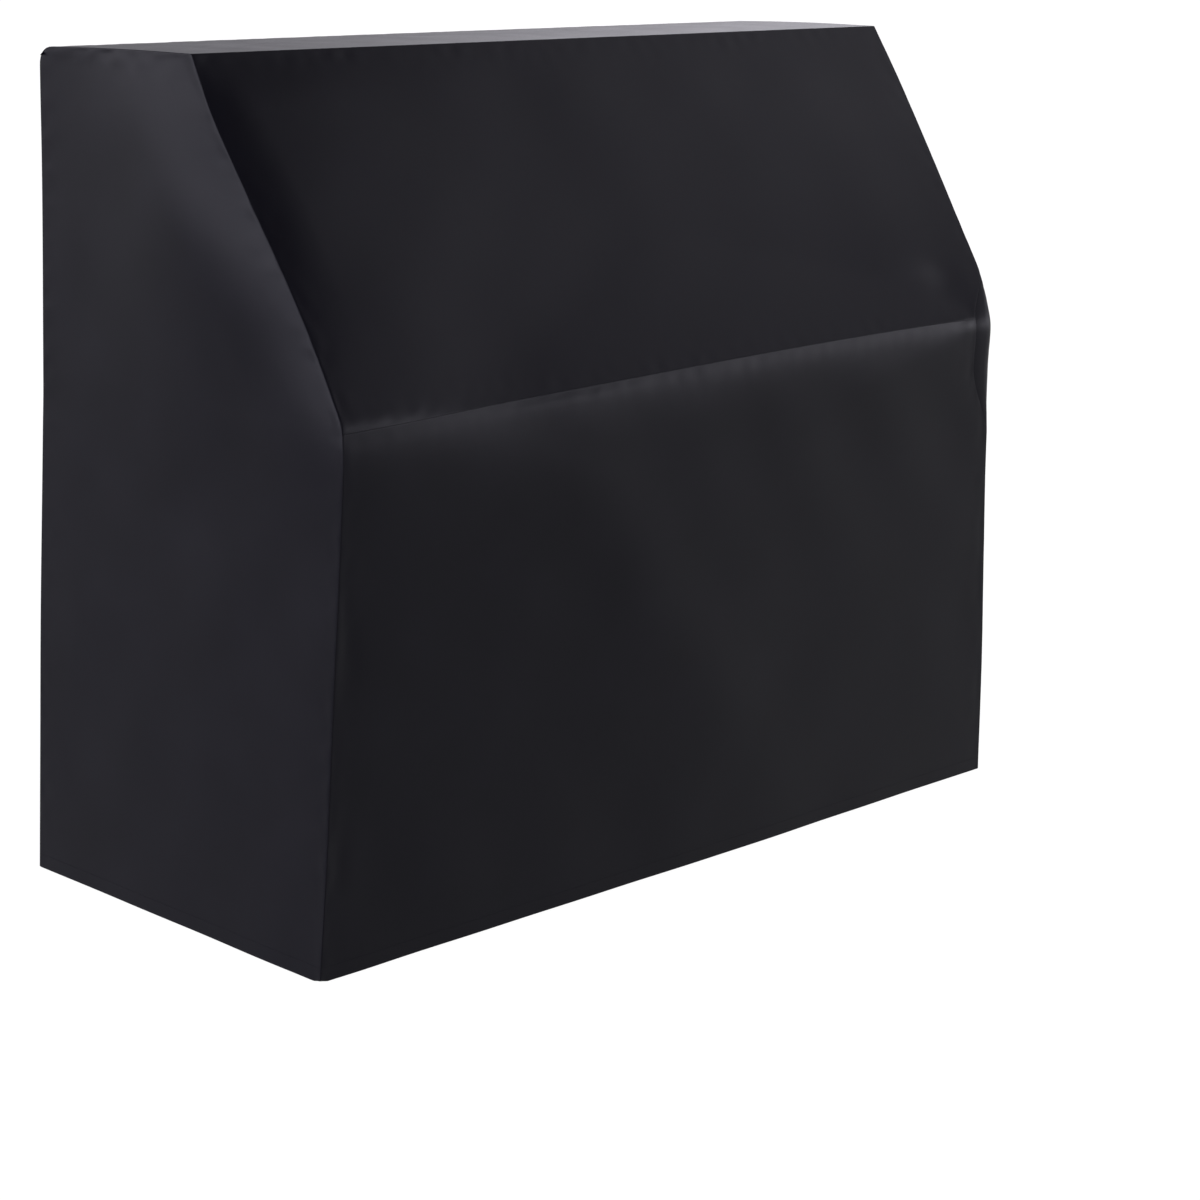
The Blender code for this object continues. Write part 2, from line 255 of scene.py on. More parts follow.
# The camera stands to the left of the front, a little above the lid, with a long lens.
CAMERA_PLACE = (-3.598, -3.560, 0.378)
CAMERA_YAW = 47.6
CAMERA_PITCH = 14.44
CAMERA_ROLL = 2.35
CAMERA_LENS = 94.0
CAMERA_CLIP_END = 300.0

# The floor is a round plate with this many sides.
FLOOR_SIDES = 64


def mix(start, end, share):
    return start + (end - start) * share


def smooth_step(share):
    share = np.clip(share, 0.0, 1.0)
    return share * share * (3.0 - 2.0 * share)


def unit(vectors):
    return vectors / np.linalg.norm(vectors, axis=-1, keepdims=True)


# ---- The cover's shape ----


def end_level(height, column):
    """One column of END_LEVELS at any height, on a smooth curve through its rows."""
    heights = np.array([level.height for level in END_LEVELS])
    values = np.array([getattr(level, column) for level in END_LEVELS])
    slopes = np.gradient(values, heights)
    height = np.clip(height, heights[0], heights[-1])
    row = np.clip(np.searchsorted(heights, height, side="right") - 1, 0, len(heights) - 2)
    span = heights[row + 1] - heights[row]
    share = (height - heights[row]) / span
    lead_in = share * (1.0 - share) ** 2 * span * slopes[row]
    lead_out = share**2 * (share - 1.0) * span * slopes[row + 1]
    return mix(values[row], values[row + 1], smooth_step(share)) + lead_in + lead_out


def corner_share(height):
    """How fully the right end's knee corner is rounded at each height, from 0 to 1."""
    rising = smooth_step((height - CORNER_LOW) / (CORNER_FULL[0] - CORNER_LOW))
    falling = smooth_step((CORNER_HIGH - height) / (CORNER_HIGH - CORNER_FULL[1]))
    return rising * falling


def knee_height(x):
    """The knee line climbs a little from the left end to the right, and arches between them."""
    climb = mix(KNEE_HEIGHT_LEFT, KNEE_HEIGHT_RIGHT, smooth_step(0.5 + x / KNEE_CLIMB_WIDTH))
    return climb + KNEE_ARCH * np.maximum(1.0 - (2.0 * x / KNEE_ARCH_WIDTH) ** 2, 0.0)


def left_seam(height):
    return -end_level(height, "left")


def right_seam(height):
    return end_level(height, "right") - CORNER_INSET * corner_share(height)


def middle_depth(x, height):
    """Depth of the front away from the ends: a near-upright lower part, then the slope."""
    knee = knee_height(x)
    place = smooth_step((x - BAND_CHANGE[0]) / (BAND_CHANGE[1] - BAND_CHANGE[0]))
    setback = mix(*BAND_SETBACK, place)
    lower = mix(HEM_DEPTH, KNEE_DEPTH + setback, height / knee)
    lower = lower - setback * np.exp(-np.maximum(knee - height, 0.0) / mix(*BAND_LENGTH, place))
    share = np.clip((height - knee) / (FRONT_TOP_HEIGHT - knee), 0.0, 1.0)
    slope = mix(KNEE_DEPTH, TOP_DEPTH, share) - SLOPE_HOLLOW * np.sin(np.pi * share)
    return np.where(height <= knee, lower, slope)


def shoulder(from_left, above, height):
    """How far the slope stands out beside its left seam, at a height above the knee."""
    climb = np.clip(above / (FRONT_TOP_HEIGHT - KNEE_HEIGHT_LEFT), 0.0, 1.0)
    reach = mix(*SHOULDER_REACH, climb)
    share = smooth_step(above / SHOULDER_FADE_LOW)
    share = share * smooth_step((FRONT_TOP_HEIGHT - height) / SHOULDER_FADE_HIGH)
    fade = 1.0 - smooth_step((from_left - reach / 2) / SHOULDER_FADE)
    return SHOULDER * share * rounded(from_left, reach) * fade


def front_depth(x, height):
    """The front: hollow between its seams, with the slope rounded over beside the left one."""
    from_left = np.maximum(x - left_seam(height), 0.0)
    from_right = np.maximum(right_seam(height) - x, 0.0)
    above = height - knee_height(x)
    knee_reach = np.where(x > 0.0, KNEE_RIDGE_REACH[1], KNEE_RIDGE_REACH[0])
    reach = mix(knee_reach, RIDGE_REACH, smooth_step(np.abs(above) / KNEE_RIDGE_SPAN))
    edge = np.where(x > 0.0, end_level(height, "right_depth"), end_level(height, "left_depth"))
    ridge = 1.0 - smooth_step(np.minimum(from_left, from_right) / reach)
    return mix(middle_depth(x, height), edge, ridge) + shoulder(from_left, above, height)


def roll_out(behind, run):
    """How far the roll behind a front seam stands out: a quick full turn, then a long fade."""
    start = np.clip(1.0 - behind / ROLL_DEPTH, 0.0, 1.0)
    early = (1.0 - start**ROLL_SHAPE) ** (1.0 / ROLL_SHAPE)
    late = 1.0 - (behind - ROLL_DEPTH) / (run - ROLL_DEPTH)
    return np.where(behind < ROLL_DEPTH, early, late)


def rounded(distance, reach):
    """From 0 at an edge up to 1 at the reach, flattening as it goes."""
    return 1.0 - np.maximum(1.0 - distance / reach, 0.0) ** 2


def pillow(behind, run, height):
    """How full an end's upper part is: none at its seams, most a little way inside them."""
    low = smooth_step((height - END_PILLOW_LOW) / (END_PILLOW_FULL - END_PILLOW_LOW))
    top = rounded(FRONT_TOP_HEIGHT - height, END_PILLOW_TOP)
    back = smooth_step((run - behind) / END_PILLOW_BACK)
    return low * top * back * rounded(behind, END_PILLOW_SEAM)


def in_frame(x, depth, height):
    return np.stack(np.broadcast_arrays(x, MOUNT_DEPTH - depth, height - MOUNT_HEIGHT), axis=-1)


def spaced(length, middle, first=SEAM_STEPS, last=SEAM_STEPS):
    """Distances along a length, close together beside the seams and even between them."""
    length = np.asarray(length, float)[..., None]
    shares = np.linspace(0.0, 1.0, middle + 1)[1:-1]
    inner = first[-1] + (length - first[-1] - last[-1]) * shares
    return np.concatenate([np.array(first) + 0.0 * length, inner, length - last[::-1]], axis=-1)


def lower_rows(knee):
    return spaced(knee, MIDDLE_LOWER)


def upper_rows(knee):
    return np.asarray(knee, float)[..., None] + spaced(FRONT_TOP_HEIGHT - knee, MIDDLE_UPPER)


def side_rows(knee):
    """Heights up a front seam, the lower front's and then the slope's."""
    return np.concatenate([lower_rows(knee), upper_rows(knee)[1:]])


def back_rows():
    """(depth, height) up a back seam, which ends part-way round the back's top corner."""
    knee = (KNEE_HEIGHT_LEFT + KNEE_HEIGHT_RIGHT) / 2
    turn = BACK_TOP_HEIGHT - BACK_TOP_RADIUS
    arc = BACK_TOP_RADIUS * math.radians(BACK_SEAM_TURN)
    climb = np.concatenate([lower_rows(knee), knee + spaced(turn + arc - knee, MIDDLE_UPPER)[1:]])
    angle = np.clip((climb - turn) / BACK_TOP_RADIUS, 0.0, None)
    depth = BACK_TOP_RADIUS * (1.0 - np.cos(angle))
    return depth, np.minimum(climb, turn) + BACK_TOP_RADIUS * np.sin(angle)


def end_grid(side):
    """An end panel's outer face: rows from the hem to the top, columns from front to back."""
    seam = right_seam if side > 0 else left_seam
    knee = KNEE_HEIGHT_RIGHT if side > 0 else KNEE_HEIGHT_LEFT
    heights = side_rows(knee)
    back_depth, back_height = back_rows()
    start_x = seam(heights)
    start_depth = front_depth(start_x, heights)
    run = start_depth - back_depth
    behind = spaced(run, MIDDLE_DEEP, first=ROLL_STEPS)
    share = behind / run[:, None]
    corner = corner_share(heights) if side > 0 else np.zeros_like(heights)
    roll = mix(END_ROLL * smooth_step(heights / ROLL_FULL_HEIGHT), CORNER_ROLL, corner)
    back_x = side * end_level(back_height, "back")
    x = mix(start_x[:, None], back_x[:, None], share)
    x = x + side * roll[:, None] * roll_out(behind, run[:, None])
    x = x + side * END_PILLOW * pillow(behind, run[:, None], heights[:, None])
    lip = roll_out(behind, run[:, None]) * np.clip(1.0 - behind / ROLL_DEPTH, 0.0, 1.0)
    depth = start_depth[:, None] - behind + CORNER_LIP * corner[:, None] * lip
    height = mix(heights[:, None], back_height[:, None], share)
    depths_on_top = depth[-1]
    edge_share = depths_on_top / TOP_DEPTH
    edge = mix(BACK_TOP_HEIGHT, FRONT_TOP_HEIGHT, edge_share)
    edge = edge + TOP_CROWN / 2 * np.sin(np.pi * edge_share)
    drop = np.clip(1.0 - depths_on_top / BACK_TOP_RADIUS, 0.0, 1.0)
    edge = edge - BACK_TOP_RADIUS * (1.0 - np.sqrt(1.0 - drop * drop))
    edge[-1] = back_height[-1]
    rising = (heights / FRONT_TOP_HEIGHT)[:, None] ** TOP_EDGE_FADE
    return in_frame(x, depth, height + (edge - height[-1]) * rising)


def front_grid(rows_at):
    """A front panel's outer face. rows_at(knee) gives the rows' heights."""
    left_heights = rows_at(KNEE_HEIGHT_LEFT)
    right_heights = rows_at(KNEE_HEIGHT_RIGHT)
    left = left_seam(left_heights)
    x = left[:, None] + spaced(right_seam(right_heights) - left, MIDDLE_ACROSS)
    height = np.stack([rows_at(knee_height(x[row]))[:, row] for row in range(len(x))])
    return in_frame(x, front_depth(x, height), height)


def between_ends(left, right, rise):
    """A face between two ends' edges. rise(across, place) moves it off the straight line."""
    places = left[:, None, :1] + spaced(right[:, 0] - left[:, 0], MIDDLE_ACROSS)[..., None]
    across = (places - left[:, None, :1]) / (right - left)[:, None, :1]
    grid = mix(left[:, None, :], right[:, None, :], across)
    grid[..., :1] = places
    return grid + rise(across[..., 0], grid)


def back_rise(across, grid):
    upright = np.sin(np.pi * np.clip((grid[..., 2] + MOUNT_HEIGHT) / BACK_TOP_HEIGHT, 0.0, 1.0))
    billow = BACK_BILLOW * np.sin(np.pi * across) * upright
    return billow[..., None] * np.array((0.0, 1.0, 0.0))


def top_rise(across, grid):
    share = np.clip((MOUNT_DEPTH - grid[..., 1]) / TOP_DEPTH, 0.0, 1.0)
    crown = TOP_CROWN / 2 * np.sin(np.pi * across) * np.sin(np.pi * share)
    return crown[..., None] * np.array((0.0, 0.0, 1.0))


def outer_faces():
    """Every panel's outer face, seam line to seam line, as rows and columns of points."""
    grids = {
        "end_panel_left": end_grid(-1),
        "end_panel_right": end_grid(1),
        "lower_front_panel": front_grid(lower_rows),
        "upper_front_panel": front_grid(upper_rows),
    }
    left, right = grids["end_panel_left"], grids["end_panel_right"]
    grids["back_panel"] = between_ends(left[:, -1], right[:, -1], back_rise)
    grids["top_panel"] = between_ends(left[-1], right[-1], top_rise)
    grids["top_panel"][0] = grids["upper_front_panel"][-1]
    grids["top_panel"][-1] = grids["back_panel"][-1]
    return grids


def distances(grid, axis):
    """How far each point lies along its row or column from the first."""
    steps = np.linalg.norm(np.diff(grid, axis=axis), axis=-1)
    start = np.zeros_like(np.take(steps, [0], axis=axis))
    return np.concatenate([start, np.cumsum(steps, axis=axis)], axis=axis)


def edge_distances(grid):
    """How far each point lies from the lower, upper, first and last edge."""
    return (
        distances(grid, 0),
        distances(grid[::-1], 0)[::-1],
        distances(grid, 1),
        distances(grid[:, ::-1], 1)[:, ::-1],
    )


def flat_places(node, grid):
    """Each point's place on the flat cloth, with the threads running level and upright."""
    if node.startswith("end_panel"):
        run = distances(grid, 1)
        return np.stack([run[:, -1:] - run, grid[..., 2] + MOUNT_HEIGHT], axis=-1)
    return np.stack([grid[..., 0], distances(grid, 0)], axis=-1)


def face_normals(grid, outward):
    normals = unit(np.cross(np.gradient(grid, axis=1), np.gradient(grid, axis=0)))
    return normals if (normals.mean(axis=(0, 1)) @ np.array(outward, float)) > 0 else -normals


def crossing_waves(flat, length, seed, waves=7):
    """Unevenness made of a few crossing waves of about one length, mostly within -1 to 1."""
    dice = np.random.default_rng(seed)
    total = np.zeros(flat.shape[:-1])
    for turn, phase, stretch in dice.uniform((0.0, 0.0, 0.7), (np.pi, 2 * np.pi, 1.5), (waves, 3)):
        along = flat[..., 0] * np.cos(turn) + flat[..., 1] * np.sin(turn)
        total += np.sin(2 * np.pi * along / (length * stretch) + phase)
    return total / math.sqrt(waves)


def crease_depth(flat, crease):
    turn = math.radians(crease.turn)
    across = flat[..., 0] - crease.across
    up = flat[..., 1] - crease.up
    along = (across * math.cos(turn) + up * math.sin(turn)) / crease.half_length
    aside = (up * math.cos(turn) - across * math.sin(turn)) / crease.half_width
    return crease.depth * np.exp(-(along**2) - aside**2)


def settle(node, grid, flat):
    """The cloth with its creases, its slack and the puckers beside its seams."""
    panel = PANELS[node]
    to_lower, *to_others = edge_distances(grid)
    to_seam = np.minimum.reduce(to_others)
    if panel.lower_edge == "seam":
        to_seam = np.minimum(to_seam, to_lower)
    depth = sum(crease_depth(flat, crease) for crease in CREASES[node])
    depth = depth * smooth_step(to_seam / CREASE_REACH)
    slack = crossing_waves(flat, panel.slack_length, panel.seed) * panel.slack_height
    near = to_seam / PUCKER_REACH
    puckers = crossing_waves(flat, PUCKER_LENGTH, panel.seed + PUCKER_SEED) * PUCKER_HEIGHT
    lift = slack * smooth_step(to_seam / SLACK_REACH) + puckers * near * np.exp(1.0 - near) - depth
    return grid + face_normals(grid, panel.outward) * lift[..., None]


def lift_hem_corner(grids):
    """The front's left corner of the hem is drawn up a little, where the cloth is thickest."""
    corner = grids["lower_front_panel"][0, 0].copy()
    for node in ("lower_front_panel", "end_panel_left"):
        away = np.linalg.norm(grids[node] - corner, axis=-1) / HEM_CORNER_REACH
        grids[node][..., 2] += HEM_CORNER_LIFT * (1.0 - smooth_step(away))


# ---- Sewing ----

# One edge of a panel: its line of points, the way into the panel along the cloth, and the
# outward normals.
Border = namedtuple("Border", "line into normal")

# How cloth leaves an edge. Start moves the edge in to where the turn begins, and offsets and run
# carry the cloth on from there, outermost first.
Turn = namedtuple("Turn", "into start offsets run")

# An edge's shift fades over this distance into the panel, in metres. Edges whose ways into the
# panel agree more closely than SMOOTH_CORNER turn as one where they meet. MOST_LEAN is the sine of
# the sharpest half turn that a seam's roll can follow.
SHIFT_REACH = 0.018
SMOOTH_CORNER = 0.85
MOST_LEAN = 0.95
EDGES = ("lower", "upper", "first", "last")


def edge_lines(grid, edge):
    """An edge's own points, and the next ones in from it."""
    lines = grid if edge in ("lower", "upper") else grid.swapaxes(0, 1)
    return (lines[0], lines[1]) if edge in ("lower", "first") else (lines[-1], lines[-2])


def border(grid, edge, outward):
    line, inner = edge_lines(grid, edge)
    along = unit(np.gradient(line, axis=0))
    into = inner - line
    into = unit(into - (into * along).sum(axis=1, keepdims=True) * along)
    normal = unit(np.cross(along, into))
    facing = np.sign((edge_lines(face_normals(grid, outward), edge)[0] * normal).sum(axis=1))
    return Border(line, into, normal * facing[:, None])


def seam_partners(borders):
    """The other panel's normal at every edge point; a corner of three takes its neighbour's."""
    rows = [
        (node, point, normal)
        for (node, _), edge in borders.items()
        for point, normal in zip(edge.line, edge.normal)
    ]
    tree = KDTree(len(rows))
    for index, (_, point, _) in enumerate(rows):
        tree.insert(point, index)
    tree.balance()
    partners = {}
    for (node, side), edge in borders.items():
        found = np.full_like(edge.normal, np.nan)
        for index, point in enumerate(edge.line):
            near = [rows[hit] for _, hit, _ in tree.find_range(point, MEETING_DISTANCE)]
            others = {name: normal for name, _, normal in near if name != node}
            if len(others) == 1:
                found[index] = next(iter(others.values()))
        known = np.flatnonzero(~np.isnan(found[:, 0]))
        if len(known):
            nearest = np.abs(np.arange(len(found))[:, None] - known).argmin(axis=1)
            found = found[known[nearest]]
        partners[node, side] = found
    return partners


def seam_profile(bend, sewing):
    """(aside, inward) offsets from the seam line: from the raw edge, round the roll, to the panel.

    bend is half the turn between the two panels, at each point of the seam.
    """
    aside = sewing.seam_gap / 2 + sewing.roll_radius
    reach = (aside + sewing.roll_radius * np.sin(bend)) / np.cos(bend)
    inward = reach * np.sin(bend) + sewing.roll_radius * np.cos(bend)
    turn = np.linspace(1.0, 0.0, ROLL_SEGMENTS + 1)
    angle = bend[:, None] - np.pi / 2 - turn * (np.pi / 2 + bend[:, None])
    roll = np.stack(
        [
            aside + sewing.roll_radius * np.cos(angle),
            inward[:, None] + sewing.roll_radius * np.sin(angle),
        ],
        axis=-1,
    )
    deeper = np.linspace(sewing.seam_allowance, 0.0, ALLOWANCE_STEPS + 1)[:-1]
    allowance = np.repeat(roll[:, :1], ALLOWANCE_STEPS, axis=1)
    allowance[..., 1] += deeper
    return np.concatenate([allowance, roll], axis=1)


def hem_profile(count, sewing):
    """(up, inward) offsets from the hem line: from the turned-up edge, round the fold."""
    fold = sewing.hem_fold / 2
    angle = np.radians(np.linspace(90.0, 270.0, HEM_SEGMENTS + 1))
    turn = np.stack([fold + fold * np.cos(angle), fold + fold * np.sin(angle)], axis=-1)
    rise = np.linspace(sewing.hem_height, 0.0, HEM_TURN_STEPS + 1)[:-1]
    upright = np.repeat(turn[:1], HEM_TURN_STEPS, axis=0)
    upright[:, 0] += rise
    return np.repeat(np.concatenate([upright, turn])[None], count, axis=0)


def edge_turn(edge, partner, kind, sewing):
    """How the cloth leaves one edge of a panel, for every point of that edge."""
    if kind == "hem":
        profile = hem_profile(len(edge.line), sewing)
        aside, inward = edge.into, -edge.normal
    else:
        along = unit(np.gradient(edge.line, axis=0))
        inward = -(edge.normal + partner)
        inward = unit(inward - (inward * along).sum(axis=1, keepdims=True) * along)
        lean = (edge.into * inward).sum(axis=1)
        aside = unit(edge.into - lean[:, None] * inward)
        profile = seam_profile(np.arcsin(np.clip(lean, -MOST_LEAN, MOST_LEAN)), sewing)
    offsets = profile[..., :1] * aside[:, None] + profile[..., 1:] * inward[:, None]
    start = offsets[:, -1]
    run = distances(profile[:, ::-1], 1)[:, ::-1]
    offsets = (offsets - start[:, None]).swapaxes(0, 1)
    return Turn(edge.into, start, offsets, run.T)


def shifted(grid, flat, turns):
    """The grid and its flat map, with every edge drawn in to where its turn begins."""
    low, top, first, last = turns
    near = [smooth_step(1.0 - distance / SHIFT_REACH) for distance in edge_distances(grid)]
    starts = (low.start[None], top.start[None], first.start[:, None], last.start[:, None])
    shared = np.ones(grid.shape[:2])
    for row_turn, row_end, row_near in ((low, 0, near[0]), (top, -1, near[1])):
        for column_turn, column_end, column_near in ((first, 0, near[2]), (last, -1, near[3])):
            same = row_turn.into[column_end] @ column_turn.into[row_end]
            shared += max(same, 0.0) * row_near * column_near
    moves = [(amount / shared)[..., None] * start for amount, start in zip(near, starts)]
    reach = [np.linalg.norm(move, axis=-1) for move in moves]
    outwards = np.sign(flat[0, -1, 0] - flat[0, 0, 0])
    cloth = flat + np.stack([outwards * (reach[2] - reach[3]), reach[0] - reach[1]], axis=-1)
    return grid + sum(moves), cloth


def sewn_sheet(grid, flat, turns, has_hem):
    """The panel's grid carried on past its four edges, its flat map and the faces it keeps."""
    low, top, first, last = turns
    grid, flat = shifted(grid, flat, turns)
    rows = [0] * len(low.run) + list(range(1, len(grid) - 1)) + [-1] * len(top.run)
    columns = [0] * len(first.run) + list(range(1, grid.shape[1] - 1)) + [-1] * len(last.run)
    points = grid[np.ix_(rows, columns)]
    points[: len(low.run)] += low.offsets[:, columns]
    points[-len(top.run) :] += top.offsets[::-1][:, columns]
    points[:, : len(first.run)] += first.offsets[:, rows].swapaxes(0, 1)
    points[:, -len(last.run) :] += last.offsets[::-1][:, rows].swapaxes(0, 1)
    if top.into[-1] @ last.into[-1] > SMOOTH_CORNER:
        both = (top.offsets[::-1, -1] + last.offsets[::-1, -1]) / 2
        outermost = np.maximum(*np.indices((len(both), len(both))))
        points[-len(both) :, -len(both) :] = grid[-1, -1] + both[outermost]
    cloth = flat[np.ix_(rows, columns)]
    cloth[: len(low.run), :, 1] -= low.run[:, columns]
    cloth[-len(top.run) :, :, 1] += top.run[::-1][:, columns]
    outwards = np.sign(flat[0, -1, 0] - flat[0, 0, 0])
    cloth[:, : len(first.run), 0] -= outwards * first.run[:, rows].T
    cloth[:, -len(last.run) :, 0] += outwards * last.run[::-1][:, rows].T
    keep = np.ones((len(rows) - 1, len(columns) - 1), bool)
    clipped = [*range(ALLOWANCE_STEPS), *range(-ALLOWANCE_STEPS, 0)]
    keep[np.ix_(clipped, clipped)] = False
    if has_hem:
        keep[: len(low.run) - 1, : len(first.run)] = False
        keep[: len(low.run) - 1, -len(last.run) :] = False
    return points, cloth, keep


def sew_cover(sewing):
    """Every panel's finished grid, flat map and kept faces, and the lines of the hem's stitches."""
    grids = outer_faces()
    lift_hem_corner(grids)
    borders = {
        (node, edge): border(grid, edge, PANELS[node].outward)
        for node, grid in grids.items()
        for edge in EDGES
    }
    partners = seam_partners(borders)
    sheets, stitch_lines = {}, {}
    for node, grid in grids.items():
        kinds = (PANELS[node].lower_edge, "seam", "seam", "seam")
        turns = [
            edge_turn(borders[node, edge], partners[node, edge], kind, sewing)
            for edge, kind in zip(EDGES, kinds)
        ]
        flat = flat_places(node, grid)
        settled = settle(node, grid, flat)
        has_hem = PANELS[node].lower_edge == "hem"
        sheets[node] = sewn_sheet(settled, flat, turns, has_hem)
        if has_hem:
            normals = face_normals(settled, PANELS[node].outward)
            stitched = (HEM_STITCH_ROW, slice(HEM_STITCH_INSET, -HEM_STITCH_INSET))
            stitch_lines[node] = (settled[stitched], normals[stitched])
    return sheets, stitch_lines


# ---- Meshes ----

# Cloth edges that turn by more degrees than this are shaded crisp.
SHARP_EDGE_ANGLE = 50.0


def new_mesh(name, points, edges, faces):
    mesh = bpy.data.meshes.new(name)
    mesh.from_pydata(points, edges, faces)
    mesh.update()
    return mesh


def sheet_mesh(name, points, cloth, keep, outward):
    """A mesh of the kept faces, wound to face outwards, with the flat map as its UV map."""
    rows, columns = points.shape[:2]
    index = np.arange(rows * columns).reshape(rows, columns)
    cells = np.stack([index[:-1, :-1], index[:-1, 1:], index[1:, 1:], index[1:, :-1]], axis=-1)
    cells = cells[keep]
    corner = points.reshape(-1, 3)[cells]
    spread = np.cross(corner[:, 1] - corner[:, 0], corner[:, 3] - corner[:, 0]).sum(axis=0)
    if spread @ np.array(outward, float) < 0:
        cells = cells[:, ::-1]
    rounded = np.round(points.reshape(-1, 3) / WELD_DISTANCE).astype(int)
    _, single, welded = np.unique(rounded, axis=0, return_index=True, return_inverse=True)
    faces = welded.reshape(-1)[cells]
    open_cells = (np.diff(np.sort(faces, axis=1), axis=1) > 0).all(axis=1)
    cells, faces = cells[open_cells], faces[open_cells]
    used, faces = np.unique(faces, return_inverse=True)
    faces = faces.reshape(-1, 4)
    mesh = new_mesh(name, points.reshape(-1, 3)[single[used]].tolist(), [], faces.tolist())
    layer = mesh.uv_layers.new(name="cloth")
    layer.data.foreach_set("uv", cloth.reshape(-1, 2)[cells].astype(np.float32).ravel())
    mesh.shade_smooth()
    return mesh


def new_piece(name, data):
    piece = bpy.data.objects.new(name, data)
    bpy.context.scene.collection.objects.link(piece)
    return piece


def make_plain(piece):
    """The piece's evaluated shape becomes its own mesh, and its modifiers go."""
    graph = bpy.context.evaluated_depsgraph_get()
    mesh = bpy.data.meshes.new_from_object(piece.evaluated_get(graph))
    mesh.name = piece.name
    piece.modifiers.clear()
    piece.data = mesh
    return piece


def thicken(piece, thickness):
    """Cloth of an even thickness inside the outer face, with crisp raw edges."""
    wall = piece.modifiers.new("cloth_thickness", "SOLIDIFY")
    wall.thickness = thickness
    wall.offset = -1.0
    make_plain(piece)
    piece.data.set_sharp_from_angle(angle=math.radians(SHARP_EDGE_ANGLE))


# ---- Materials ----

# Shares of the cloth's body colour: where it is darkest and lightest, and in the sewing thread. Then
# how much of the change between the first two comes from single threads.
DARK_SHARE = 0.8
LIGHT_SHARE = 1.2
THREAD_SHARE = 1.3
STREAK_SHARE = 0.25

# Changes in a metre: along and across an uneven thread, in the cloth's mottle and in its grain, and in
# a sewing thread's twist.
STREAK_SCALE = (18.0, 900.0)
MOTTLE_SCALE = 9.0
GRAIN_SCALE = 220.0
TWIST_SCALE = 900.0

# Bumps: how strong each is and how high, in metres. The weave's is this much of its crossed waves and
# this much of its uneven threads.
WEAVE_BUMP = (0.35, 0.00006)
WEAVE_PARTS = (0.5, 0.6)
GRAIN_BUMP = (0.5, 0.00012)
TWIST_BUMP = (0.4, 0.00008)

# How far the cloth's roughness varies, and the sewing thread's least roughness and how far it varies.
CLOTH_ROUGHNESS_SPREAD = 0.10
THREAD_ROUGHNESS = 0.35
THREAD_ROUGHNESS_SPREAD = 0.2


class NodeMaker:
    """Adds nodes to one tree and joins them, a value or a socket for each input."""

    def __init__(self, tree):
        self.tree = tree
        tree.nodes.clear()

    def add(self, kind, inputs=None, **settings):
        node = self.tree.nodes.new(kind)
        for name, value in settings.items():
            setattr(node, name, value)
        for key, value in (inputs or {}).items():
            if isinstance(value, bpy.types.NodeSocket):
                self.tree.links.new(value, node.inputs[key])
            else:
                node.inputs[key].default_value = value
        return node

    def out(self, kind, inputs=None, **settings):
        return self.add(kind, inputs, **settings).outputs[0]

    def math(self, operation, *values):
        return self.out("ShaderNodeMath", dict(enumerate(values)), operation=operation)

    def noise(self, place, scale, detail):
        return self.out("ShaderNodeTexNoise", {"Vector": place, "Scale": scale, "Detail": detail})

    def bump(self, height, size, **normal):
        values = {"Height": height, "Strength": size[0], "Distance": size[1], **normal}
        return self.out("ShaderNodeBump", values)

    def surface(self, values):
        self.add("ShaderNodeOutputMaterial", {0: self.out("ShaderNodeBsdfPrincipled", values)})


def new_material(name):
    material = bpy.data.materials.get(name) or bpy.data.materials.new(name)
    material.use_nodes = True
    return material


def weave_height(make, flat, pitch):
    """Threads over and under one another: crossed waves along the warp and the weft."""
    scaled = make.out("ShaderNodeVectorMath", {0: flat, 3: math.tau / pitch}, operation="SCALE")
    across, up, _ = make.add("ShaderNodeSeparateXYZ", {0: scaled}).outputs
    return make.math("MULTIPLY", make.math("SINE", across), make.math("SINE", up))


def thread_streaks(make, flat):
    """Uneven threads: noise drawn out along the warp, and more of it along the weft."""
    along, aside = STREAK_SCALE
    warp, weft = (
        make.out("ShaderNodeMapping", {"Vector": flat, "Scale": scale})
        for scale in ((aside, along, 1.0), (along, aside, 1.0))
    )
    return make.math("ADD", make.noise(warp, 1.0, 2.0), make.noise(weft, 1.0, 2.0))


